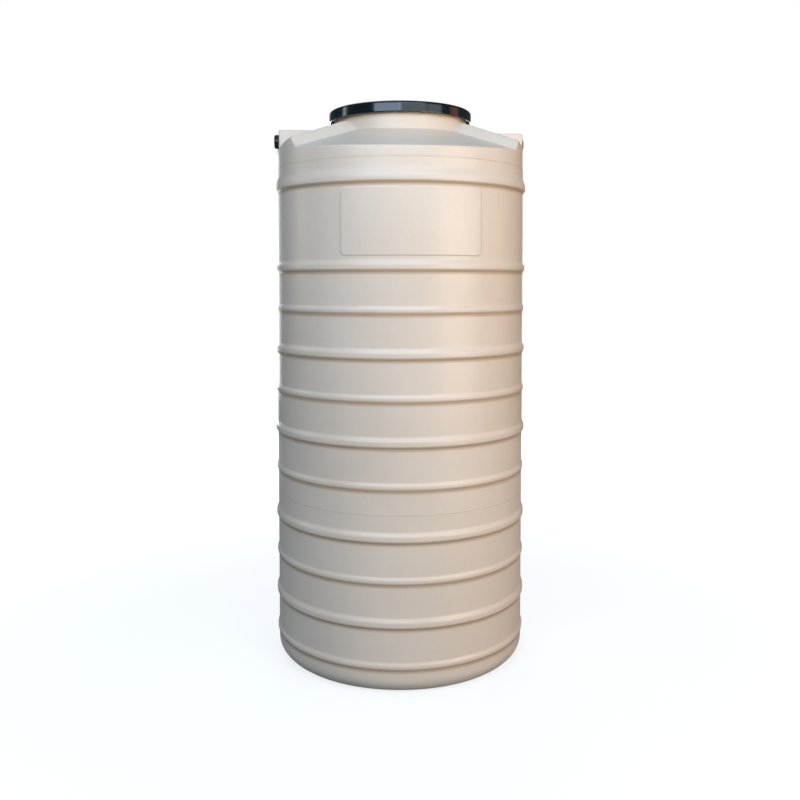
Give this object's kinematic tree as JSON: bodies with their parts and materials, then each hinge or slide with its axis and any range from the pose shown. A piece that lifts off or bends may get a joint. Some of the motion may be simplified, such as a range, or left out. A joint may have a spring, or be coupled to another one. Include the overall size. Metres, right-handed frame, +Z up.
{
  "type": "water tank",
  "caption": "Tall round plastic water tank with raised hoops, a gabled roof, a lift-off lid on a neck, pipe connectors and a float valve behind the inlet.",
  "frame": {"origin": "middle of the tank's round base, on the floor", "axes": "+Z up, -Y towards the front with the raised panel, -X towards the inlet, +Y towards the outlet"},
  "size_m": [0.876, 0.8951, 1.8905],
  "materials": {
    "tank_plastic": "satin moulded polyethylene",
    "lid_plastic": "glossy black polyethylene",
    "fitting_plastic": "glossy black polypropylene",
    "rubber": "matt black rubber",
    "brass": "cast and turned",
    "nylon": "white nylon",
    "pin_steel": "drawn steel",
    "float_plastic": "orange polyethylene"
  },
  "bodies": {
    "tank": {"tank_shell": "tank_plastic", "inlet_connector": "fitting_plastic", "inlet_gasket": "rubber", "inlet_locknut": "fitting_plastic", "overflow_connector": "fitting_plastic", "overflow_gasket": "rubber", "overflow_locknut": "fitting_plastic", "outlet_connector": "fitting_plastic", "outlet_gasket": "rubber", "outlet_locknut": "fitting_plastic", "valve_body": "brass", "valve_seat": "nylon", "valve_end_cap": "brass", "pivot_pin": "pin_steel"},
    "lid": {"manhole_lid": "lid_plastic", "lid_seal": "rubber"},
    "lever": {"lever_arm": "brass", "float_ball": "float_plastic", "float_locknut": "brass"},
    "plunger": {"valve_plunger": "brass", "plunger_washer": "rubber"}
  },
  "joints": [
    {"name": "lid_lift", "type": "slide", "parent": "tank", "child": "lid", "axis": [0, 0, 1], "range_m": [0, 0.15]},
    {"name": "lever_swing", "type": "hinge", "parent": "tank", "child": "lever", "pos_m": [-0.35386, 0, 1.7585], "axis": [0, -1, 0], "range_deg": [0, 36]},
    {"name": "plunger_slide", "type": "slide", "parent": "tank", "child": "plunger", "axis": [-1, 0, 0], "range_m": [0, 0.00989]}
  ],
  "couplings": [
    {"joint": "plunger_slide", "follows": "lever_swing", "m_per_rad": 0.015738}
  ]
}
